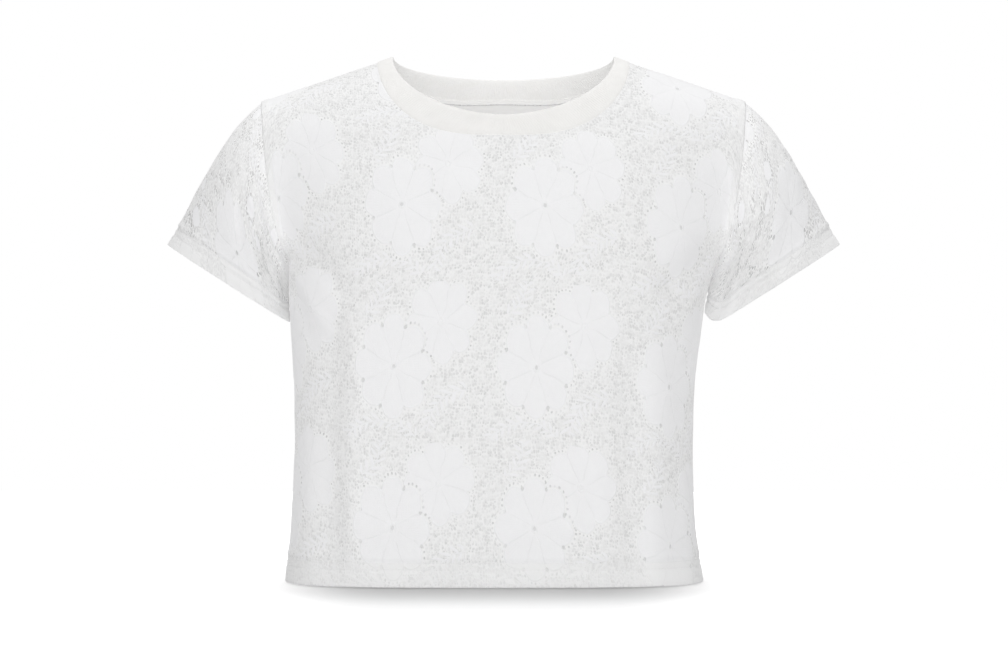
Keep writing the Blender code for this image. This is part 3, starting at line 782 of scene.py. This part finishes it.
def turnHem(points, u, v, low, deep, gap):
    # a second layer up the inside, joined below by half a circle across the gap
    normals, steps = gridNormals(points), panel["foldSteps"]
    inside = np.flatnonzero(low.min(axis=1) <= deep)[::-1]
    down = unit(points[0] - points[1])
    inner = points[inside] - normals[inside] * gap
    angle = np.linspace(np.pi, 0, steps + 2)[1:-1][:, None, None]
    roundEdge = points[0] + gap / 2 * (normals[0] * (np.cos(angle) - 1) + down * np.sin(angle))
    innerV = v[0] - np.pi * gap / 2 - (v[inside] - v[0])
    roundV = v[0] - gap / 2 * angle[..., 0] * np.ones_like(v[0])
    return (np.concatenate([inner, roundEdge, points]),
            np.concatenate([u[inside], np.repeat(u[:1], steps, 0), u]), np.concatenate([innerV, roundV, v]))


def stitchedBand(low, distances):
    # bells across a hem: one sunk under each row of stitches, one raised above the upper row
    troughs = sum(bell(low - at, panel["stitchReach"]) for at in distances)
    ridge = bell(low - (max(distances) + panel["ridgeFrom"]), panel["ridgeReach"])
    return panel["ridgeHigh"] * ridge - panel["stitchDip"] * troughs


def panelHeights(name, grid):
    # folds and waver of the front or back, fading towards its sides as 1-|share|^8
    x, z = grid["points"][..., 0], grid["points"][..., 2]
    inward = 1 - np.abs(np.linspace(-1, 1, x.shape[1])) ** panel["flatSides"]
    wavered = waver(grid["u"], grid["v"], panel["waverSeed"][name])
    return (foldHeights(folds[name], x, z) + wavered * smooth(0.0, panel["waverEnds"], grid["top"])) * inward


def laceSurface(grid, height, stitchAt):
    # the surface raised by this height, sunk along its seams and rounded over its stitched hem
    sunk = panel["seamDip"] * bell(grid["seam"], panel["seamReach"])
    height = height - sunk + stitchedBand(grid["low"], stitchAt)
    return grid["points"] + grid["normals"] * height[..., None]


def sewnLace(name, grid, deep, gap, wall, sides):
    # the surface with its seams turned in, its hem turned up and a wall; its numbers go with it
    points, u, v = turnSeams(grid["points"], grid["u"], grid["v"], panel["allowance"], sides)
    margin = ((0, 1), (1, 1) if sides else (0, 0))
    low, airy, daylight = (np.pad(grid[key], margin, "edge") for key in ("low", "airy", "daylight"))
    points, u, v = turnHem(points, u, v, low, deep, gap)
    extra = ((len(points) - len(low), 0), (0, 0))
    values = {"airy": np.pad(airy, extra, "edge"), "daylight": np.pad(daylight, extra, "edge")}
    return addWall(meshObject(name, points, gridFaces(*points.shape[:2]), laceCloth, (u, v), values), wall)


def makePanel(name):
    # the body's outer face, raised by its folds, its petals, and the allowance along the armhole
    grid = bodyGrid(name, panel["columns"], panel["lowerRows"], panel["upperRows"],
                    torso["hemZ"] + panel["hemGap"] / 2)
    z, side, low = grid["points"][..., 2], grid["side"], grid["low"]
    height = panelHeights(name, grid)
    shiftU, shiftV = panel["patternAt"][name]
    grid["u"], grid["v"] = grid["u"] + shiftU, grid["v"] + shiftV + laceSkew(grid["u"])
    fromSeams = np.minimum(side, grid["top"])
    height += petalRelief(grid["u"], grid["v"]) * smooth(0.0, panel["puffEnds"], fromSeams)
    wide, edge = panel["stripWide"], panel["stripEdge"]
    height += panel["stripHigh"] * smooth(wide + edge, wide - edge, side) * grid["sleeveEdge"]
    grid["seam"] = side
    grid["points"] = laceSurface(grid, height, panel["stitchAt"])
    double = (low < panel["hemDeep"]) | ((side < wide) & grid["sleeveEdge"])
    grid["airy"] = np.where(double, panel["airyDouble"], panel["airy"])
    # painted glow: brighter towards the side seams below the armpits and most under the arms, where the cloth
    # lies in shade
    below = smooth(panel["daylightAbove"], 0.0, z - torso["armpitZ"])
    armpit = smooth(panel["armpitEnds"], torso["armpitZ"], z) * smooth(panel["armpitReach"], 0.0, side)
    grid["daylight"] = below * (panel["daylight"] * smooth(panel["daylightReach"], 0.0, side)
                                + panel["daylightArmpit"] * armpit)
    return sewnLace(name + "Lace", grid, panel["hemDeep"], panel["hemGap"], panel["wall"], True), grid


frontLace, frontGrid = makePanel("front")
backLace, backGrid = makePanel("back")
dress(frontLace, "lace", "front")
dress(backLace, "lace", "back")

lining = {
    "columns": 101, "lowerRows": 60, "upperRows": 50, "wall": 0.0006, "daylight": 0.13,
    "behind": 0.0010, "short": 0.0015,  # metres behind the lace, and short of its hem
    "sidesShort": 0.4,  # share of a step that it stops short of the seams
}


def makeLining(name):
    # the panel's form again, inside it and short of its seams
    grid = bodyGrid(name, lining["columns"], lining["lowerRows"], lining["upperRows"],
                    torso["hemZ"] + panel["hemDeep"] + lining["short"])
    points = grid["points"] + grid["normals"] * (panelHeights(name, grid) - lining["behind"])[..., None]
    points[:, 0] += (points[:, 1] - points[:, 0]) * lining["sidesShort"]
    points[:, -1] += (points[:, -2] - points[:, -1]) * lining["sidesShort"]
    points[-1] += (points[-2] - points[-1]) * lining["sidesShort"]
    # painted glow: the lining gives off a little light of its own, all over
    values = {"daylight": np.full(points.shape[:2], lining["daylight"])}
    piece = meshObject(name + "Lining", points, gridFaces(*points.shape[:2]), liningCloth,
                       (grid["u"], grid["v"]), values)
    return addWall(piece, lining["wall"])


frontLining = dress(makeLining("front"), "lining", "front_lining")
backLining = dress(makeLining("back"), "lining", "back_lining")

sleeve = {
    "around": 200, "along": 78, "wall": 0.0005,
    "tucked": 0.0006,  # metres that its ring goes in under the armhole's edge
    "cuffMiddle": (0.2280, -0.18725), "cuffToTop": (0.8435, 0.5371),  # x and z
    "cuffHalfWidth": 0.0599, "cuffHalfDepth": 0.0410, "tuckReach": 16.0,  # degrees from under the arm
    # each side's own lie under the arm: the cuff's lower half width, how its lowest point is tucked up
    # (x, z), and how the cloth leaves the armhole (x, y, z) and meets the cuff (x, y, z) there
    "sleeveLeft": {"patternAt": (0.0840, 0.0932), "waverSeed": 11, "lowerHalf": 0.0599,
                   "tuck": (0.0, 0.0), "under": (0.010, 0.0, -0.050, 0.0, 0.0, -0.050)},
    "sleeveRight": {"patternAt": (0.0547, 0.0988), "waverSeed": 5, "lowerHalf": 0.0660,
                    "tuck": (-0.0052, 0.0108), "under": (-0.010, 0.0, -0.044, -0.002, 0.0, -0.044)},
    # how it leaves and meets at the other three places round the arm
    "front": (0.080, -0.014, -0.060, 0.045, 0.030, -0.100),
    "top": (0.107, 0.0, -0.082, 0.065, 0.0, -0.101),
    "back": (0.080, 0.014, -0.060, 0.045, -0.030, -0.100),
    "waverSize": 0.04, "waverDepth": 0.0003, "waverEnds": 0.02,
    "hemDeep": 0.0165, "hemGap": 0.0012, "stitchAt": (0.0100, 0.0155),
    "airy": 0.80, "patternTall": 1.35,
    # painted glow near the armhole, gone at this share of the way down; and under the arm, gone at these
    # degrees
    "daylightHigh": 0.060, "daylightEnds": 0.75, "daylightUnder": 0.065, "underEnds": 80.0,
}


def sleeveSurface(side):
    # one sleeve, as if at +X: cubics from the armhole's ring to the cuff's ellipse, armhole first
    turn = np.linspace(0, 2, sleeve["around"] + 1)
    up = np.where(turn <= 1, turn, 2 - turn)
    rings = (archPoints(np.ones_like(up), up, half) for half in halves.values())
    ring = np.where((turn <= 1)[:, None], *rings)
    ring[[0, -1]] = (ring[0] + ring[-1]) / 2
    ring[:, 0] -= sleeve["tucked"]
    angle = np.pi * turn
    degrees = (np.degrees(angle) + 180) % 360 - 180
    out = -np.cos(angle) * np.where(np.abs(degrees) < 90, side["lowerHalf"], sleeve["cuffHalfWidth"])
    x, z = (middle + toTop * out + tuck * bell(degrees, sleeve["tuckReach"])
            for middle, toTop, tuck in zip(sleeve["cuffMiddle"], sleeve["cuffToTop"], side["tuck"]))
    cuff = np.stack([x, -np.sin(angle) * sleeve["cuffHalfDepth"], z], axis=1)
    under, front, top, back = np.array([side["under"], sleeve["front"], sleeve["top"], sleeve["back"]])
    wave = angle[:, None]
    guide = ((under + front + top + back) / 4 + (under - top) / 2 * np.cos(wave)
             + (front - back) / 2 * np.sin(wave) + (under + top - front - back) / 4 * np.cos(2 * wave))
    share = np.linspace(0, 1, sleeve["along"])
    points = hermite(ring, cuff, guide[:, :3], guide[:, 3:], share[:, None, None])
    across = np.concatenate([np.zeros((len(share), 1)), np.cumsum(pathLength(points, 1), 1)], 1)
    u = across - across[:, sleeve["around"] // 2, None]
    v = -np.concatenate([np.zeros((1, len(turn))), np.cumsum(pathLength(points), 0)])
    return points, u, v, np.broadcast_to(degrees, u.shape), np.broadcast_to(share[:, None], u.shape)


def makeSleeve(name):
    # the sleeve's surface raised by its folds and petals, turned over in x for -X, cuff first
    side, mirrored = sleeve[name], name == "sleeveLeft"
    points, u, v, degrees, share = sleeveSurface(side)
    low, top = v - v[-1], -v
    u, v = u + side["patternAt"][0], v * sleeve["patternTall"] + side["patternAt"][1]
    normals = gridNormals(points[:, :-1], wrap=True)
    grid = {"points": points, "u": u, "v": v, "low": low, "seam": top,
            "normals": -np.concatenate([normals, normals[:, :1]], 1)}
    height = sleeveFolds(folds["sleeve"] + folds[name], degrees, share)
    wavered = waver(u, v, side["waverSeed"], sleeve["waverSize"], sleeve["waverDepth"])
    height += wavered * smooth(0.0, sleeve["waverEnds"], np.minimum(top, low))
    height += petalRelief(u, v) * smooth(0.0, panel["puffEnds"], top)
    grid["points"] = laceSurface(grid, height, sleeve["stitchAt"])
    grid["airy"] = np.where(low < sleeve["hemDeep"], panel["airyDouble"], sleeve["airy"])
    # painted glow, brightest near the armhole and under the arm, where the sleeve lies in shade
    grid["daylight"] = (sleeve["daylightHigh"] * smooth(sleeve["daylightEnds"], 0.0, share)
                        + sleeve["daylightUnder"] * smooth(sleeve["underEnds"], 0.0, np.abs(degrees)))
    if mirrored:
        grid["points"] = grid["points"] * np.array([-1.0, 1.0, 1.0])
    grid = {key: value[::-1, ::-1] if mirrored else value[::-1] for key, value in grid.items()}
    grid["normals"] = gridNormals(grid["points"])
    return sewnLace(name, grid, sleeve["hemDeep"], sleeve["hemGap"], sleeve["wall"], False), grid


sleeveLeft, leftGrid = makeSleeve("sleeveLeft")
sleeveRight, rightGrid = makeSleeve("sleeveRight")
dress(sleeveLeft, "lace", "sleeve_left")
dress(sleeveRight, "lace", "sleeve_right")

collar = {
    "ribs": 292, "pointsPerRib": 6, "ribDeep": 0.00009, "wide": 0.021,
    "ribsFrom": (0.0, 0.12), "ribsTo": (1.0, 0.8),  # where the ribs rise and fade, as shares of the way up
    "tucked": 0.0010,  # metres that the band starts down inside the neck's edge
    "half": 0.0915, "sideZ": -0.0002, "frontY": -0.080, "frontZ": -0.0535, "backY": 0.058, "backZ": -0.0146,
    "squareX": 1.9, "squareY": 3.0, "squareZ": 1.85,
    "below": 0.97,  # where the cloth's slope below the seam is read, as a share of the column
    "straightSides": (0.25, 0.0),  # it stands straight at the shoulders, between these sines
    "outer": 0.0006, "inner": -0.0012,  # where the band's faces lie, from its middle surface
    # the band's profile: shares of the way up, how far out its outer face is there, and how its rim turns in
    "rise": (0.0, 0.03, 0.08, 0.2, 0.35, 0.5, 0.65, 0.8, 0.9, 0.96, 0.99, 1.0),
    "face": (-0.2, 0.5, 0.85, 1.0, 1.0, 1.0, 1.0, 1.0, 0.95, 0.8, 0.5, 0.1),
    "rim": (0.35, 1.0, 4),
    "daylight": (0.15, 0.0),  # painted glow, inside and outside
}


def neckRing(alpha, up):
    # a row round the neck on both panels: alpha runs from -X over the front to +X and back over the back
    lift = np.arcsin(np.clip(np.abs(np.sin(alpha)), 0, 1))
    inner = (lift / (np.pi / 2)) ** (1 / torso["neckEase"])
    share = -np.sign(np.cos(alpha)) * torso["neckShare"] * (1 - inner)
    rings = (archPoints(*upperPlace(share, up, half), half) for half in halves.values())
    return np.where((np.sin(alpha) >= 0)[:, None], *rings)


def collarMiddle(alpha, share):
    # the band's middle surface: cubics that leave the panels square to the seam and stand up to the rim
    seam, below = neckRing(alpha, 1.0), neckRing(alpha, collar["below"])
    along = unit(np.roll(seam, -1, 0) - np.roll(seam, 1, 0))
    rise = seam - below
    rise = unit(rise - along * (rise * along).sum(1, keepdims=True))
    cos, sin = np.cos(alpha), np.abs(np.sin(alpha))
    dipY, dipZ = (np.where(np.sin(alpha) >= 0, *(collar[half + axis] for half in halves)) for axis in "YZ")
    rim = np.stack([-np.sign(cos) * np.abs(cos) ** (2 / collar["squareX"]) * collar["half"],
                    dipY * sin ** (2 / collar["squareY"]),
                    collar["sideZ"] + (dipZ - collar["sideZ"]) * sin ** (2 / collar["squareZ"])], axis=1)
    nearSide = smooth(*collar["straightSides"], sin)[:, None]
    rise = unit(rise * (1 - nearSide) + unit(rim - seam) * nearSide)
    start = seam - rise * collar["tucked"]
    run = rim - start
    leave = rise * np.linalg.norm(run, axis=1, keepdims=True)
    return hermite(start, rim, leave, run, share[:, None, None])


def makeCollar():
    # a folded band: a closed profile carried round the neck, with cosine ribs across it
    dense = np.linspace(0, 2 * np.pi, 4001)
    middle = collarMiddle(dense[:-1], np.array([0.5]))[0]
    lengths = np.concatenate([[0.0], np.cumsum(pathLength(np.concatenate([middle, middle[:1]])))])
    count = collar["ribs"] * collar["pointsPerRib"]
    at = np.arange(count) / count * lengths[-1]
    alpha = np.interp(at, lengths, dense)
    rise, (rimFrom, rimTo, rimSteps) = collar["rise"], collar["rim"]
    share = np.array(rise + rise[-2::-1])
    offset = np.concatenate([collar["outer"] * np.array(collar["face"]),
                             collar["inner"] * np.linspace(rimFrom, rimTo, rimSteps),
                             np.full(len(rise) - 1 - rimSteps, collar["inner"])])
    surface = collarMiddle(alpha, np.unique(share))
    normals = gridNormals(surface, wrap=True)
    row = np.searchsorted(np.unique(share), share)
    wave = np.cos(2 * np.pi * np.arange(count) / collar["pointsPerRib"])
    fade = smooth(*collar["ribsFrom"], share) * smooth(*collar["ribsTo"], share)
    ribbed = collar["ribDeep"] * (np.sign(offset) * fade)[:, None] * wave
    points = surface[row] + normals[row] * (offset[:, None] + ribbed)[..., None]
    cloth = np.meshgrid(at, share * collar["wide"])
    # painted glow on the band's inner faces only, where they lie in shade
    values = {"daylight": np.ones(points.shape[:2]) * np.where(offset < 0, *collar["daylight"])[:, None]}
    faces = gridFaces(*points.shape[:2], wrapColumns=True, wrapRows=True)
    return meshObject("collarRib", points, faces, ribCloth, cloth, values)


collarRib = dress(makeCollar(), "rib", "collar")

# the neck tape, inside the back: which part of the back panel it follows, as shares across and up
tape = {
    "columns": 161, "rows": 9, "across": 0.985, "from": 0.90, "to": 1.022, "behind": 0.0014, "wall": 0.0005,
    "long": 0.22, "wide": 0.010, "daylight": 0.20,
}


def makeTape():
    # a strip of the back panel's own surface along the neck seam, set back inside the lining
    share = np.linspace(-tape["across"], tape["across"], tape["columns"]) * torso["neckShare"]
    up = np.linspace(tape["from"], tape["to"], tape["rows"])[:, None]
    points = archPoints(*upperPlace(share[None], up, halves["back"]), halves["back"])[:, ::-1]
    points = points - gridNormals(points) * tape["behind"]
    cloth = np.meshgrid(*(np.linspace(0, tape[size], tape[count])
                          for size, count in (("long", "columns"), ("wide", "rows"))))
    # painted glow: the tape gives off a little light of its own
    values = {"daylight": np.full(points.shape[:2], tape["daylight"])}
    piece = meshObject("neckTape", points, gridFaces(*points.shape[:2]), ribCloth, cloth, values)
    return addWall(piece, tape["wall"])


neckTape = dress(makeTape(), "rib")

# two needles' stitches along each hem
stitch = {
    "length": 0.0024, "pitch": 0.0030, "radius": 0.00028, "lift": 0.00012, "rings": 5, "sides": 6,
    "blunt": 0.96,  # share of the length at which its ends are cut off
}


def makeStitches(name, grid, distances):
    # one small spindle per stitch, radius r*sqrt(1-t^4), laid along a line at each distance above the edge
    points, low = grid["points"], grid["low"]
    t = np.linspace(-stitch["blunt"], stitch["blunt"], stitch["rings"])[:, None]
    angle = 2 * np.pi * np.arange(stitch["sides"]) / stitch["sides"]
    girth = stitch["radius"] * np.sqrt(1 - t**4)
    form = np.broadcast_arrays(t * stitch["length"] / 2, girth * np.cos(angle), girth * np.sin(angle))
    form = np.stack(form, -1).reshape(-1, 3)
    vertices = []
    for distance in distances:
        row, column = np.argmax(low >= distance, axis=0), np.arange(points.shape[1])
        mix = ((distance - low[row - 1, column]) / (low[row, column] - low[row - 1, column]))[:, None]
        line = points[row - 1, column] * (1 - mix) + points[row, column] * mix
        lengths = np.concatenate([[0.0], np.cumsum(pathLength(line))])
        at = np.arange(stitch["pitch"], lengths[-1] - stitch["pitch"], stitch["pitch"])
        centre, out = (np.stack([np.interp(at, lengths, rows[:, axis]) for axis in range(3)], -1)
                       for rows in (line, grid["normals"][row, column]))
        out, ahead = unit(out), unit(np.gradient(centre, axis=0))
        axes = np.stack([ahead, out, np.cross(out, ahead)], 1)
        vertices.append((centre + out * stitch["lift"])[:, None] + form @ axes)
    vertices = np.concatenate(vertices)
    sides = gridFaces(stitch["rings"], stitch["sides"], wrapColumns=True)[:, ::-1]
    faces = (sides + len(form) * np.arange(len(vertices))[:, None, None]).reshape(-1, 4)
    piece = meshObject(name, vertices, faces, threadCloth, (vertices[..., 0], vertices[..., 2]))
    ends = bmesh.new()  # fills the two open ends of every stitch
    ends.from_mesh(piece.data)
    bmesh.ops.holes_fill(ends, edges=ends.edges, sides=stitch["sides"])
    ends.to_mesh(piece.data)
    ends.free()
    return dress(piece, "lace")


hemStitchesFront = makeStitches("hemStitchesFront", frontGrid, panel["stitchAt"])
hemStitchesBack = makeStitches("hemStitchesBack", backGrid, panel["stitchAt"])
cuffStitchesLeft = makeStitches("cuffStitchesLeft", leftGrid, sleeve["stitchAt"])
cuffStitchesRight = makeStitches("cuffStitchesRight", rightGrid, sleeve["stitchAt"])
studio = {
    "backdrop": (1.0, 1.0, 1.0), "ambient": 0.64,
    "floorDrop": 0.0008, "floorHalf": 1.4, "floorShade": 0.68, "floorRough": 0.9,
    # painted glow: the floor brightens away from the part, to each side, then in front and behind, so its
    # shadow stays close under the hem:
    # the axis, its middle, where the light begins, where it is full, how bright it is, and its power
    "glow": (("X", -0.0067, 0.050, 0.220, 0.75, 2.0), ("Y", 0.0, 0.100, 0.32, 0.38, 1.0)),
    "glowRound": (0.35, 1.1, 0.50),  # painted glow all round: where it begins, where it is full, how bright
    # one row per light: place, width, height, watts
    "lights": (((0.0, -2.6, -0.1), 3.6, 0.7, 23.5),
               ((0.0, 0.9, 2.3), 1.6, 1.0, 12.0), ((0.0, 0.35, 2.4), 1.3, 1.0, 12.0),
               ((-2.4, -2.0, 0.2), 1.2, 1.0, 2.6), ((2.4, -2.0, 0.2), 1.2, 1.0, 3.0)),
    "aim": (0.0, 0.0, -0.22),
    "distance": 2.5, "cameraX": 0.0004, "cameraZ": -0.2316, "viewWide": 0.8366, "sensor": 36.0,
}


def makeFloor():
    # a level square with a painted glow; only the camera sees it brighten, by ramps to each side raised to
    # their powers
    half, z = studio["floorHalf"], cadBox[0][2] - studio["floorDrop"]
    material, tree, shader = newMaterial("paleFloor", studio["floorRough"], 0.0)
    shader.inputs["Base Color"].default_value = (studio["floorShade"],) * 3 + (1.0,)
    place = tree.nodes.new("ShaderNodeTexCoord").outputs["Object"]
    parts = addNode(tree, "ShaderNodeSeparateXYZ", {0: place}).outputs
    sides = [(Wire(tree, parts[axis]) - middle).size().ramp(near, far).math("POWER", power) * most
             for axis, middle, near, far, most, power in studio["glow"]]
    near, far, most = studio["glowRound"]
    around = lengthOf(Wire(tree, parts["X"]), Wire(tree, parts["Y"])).ramp(near, far) * most
    seen = Wire(tree, tree.nodes.new("ShaderNodeLightPath").outputs["Is Camera Ray"])
    tree.links.new((reduce(Wire.__add__, sides).most(around) * seen).socket, shader.inputs["Emission Color"])
    corners = np.array([(-half, -half, z), (half, -half, z), (half, half, z), (-half, half, z)])
    meshObject("floor", corners, np.array([[0, 1, 2, 3]]), material)


def makeWorld():
    # the backdrop shows white; what lights the cloth is dimmer
    world = bpy.data.worlds.new("studio")
    world.use_nodes = True
    tree = world.node_tree
    seen = tree.nodes["Background"]
    seen.inputs["Color"].default_value = (*studio["backdrop"], 1.0)
    lit = addNode(tree, "ShaderNodeBackground", {"Color": (1.0,) * 4, "Strength": studio["ambient"]})
    ray = tree.nodes.new("ShaderNodeLightPath").outputs["Is Camera Ray"]
    mix = addNode(tree, "ShaderNodeMixShader", {"Fac": ray, 1: lit.outputs[0], 2: seen.outputs[0]})
    tree.links.new(mix.outputs[0], tree.nodes["World Output"].inputs["Surface"])
    bpy.context.scene.world = world


def aimed(data, place, target):
    # a light or camera at a place, with its -Z axis towards the target and its top up
    thing = bpy.data.objects.new(data.name, data)
    bpy.context.scene.collection.objects.link(thing)
    thing.location = place
    thing.rotation_euler = (Vector(target) - Vector(place)).to_track_quat("-Z", "Y").to_euler()
    return thing


def makeLights():
    # wide soft boxes, all aimed at the middle of the part
    for number, (place, width, height, watts) in enumerate(studio["lights"]):
        data = bpy.data.lights.new(f"softbox{number}", "AREA")
        data.shape, data.size, data.size_y, data.energy = "RECTANGLE", width, height, watts
        aimed(data, place, studio["aim"])


def makeCamera():
    # level and square on; the lens takes in viewWide metres at its distance
    data = bpy.data.cameras.new("camera")
    data.sensor_width = studio["sensor"]
    data.lens = studio["sensor"] * studio["distance"] / studio["viewWide"]
    x, z = studio["cameraX"], studio["cameraZ"]
    bpy.context.scene.camera = aimed(data, (x, -studio["distance"], z), (x, 0.0, z))


makeFloor()
makeWorld()
makeLights()
makeCamera()
bpy.context.scene.view_settings.view_transform = "Standard"
print("studio made")
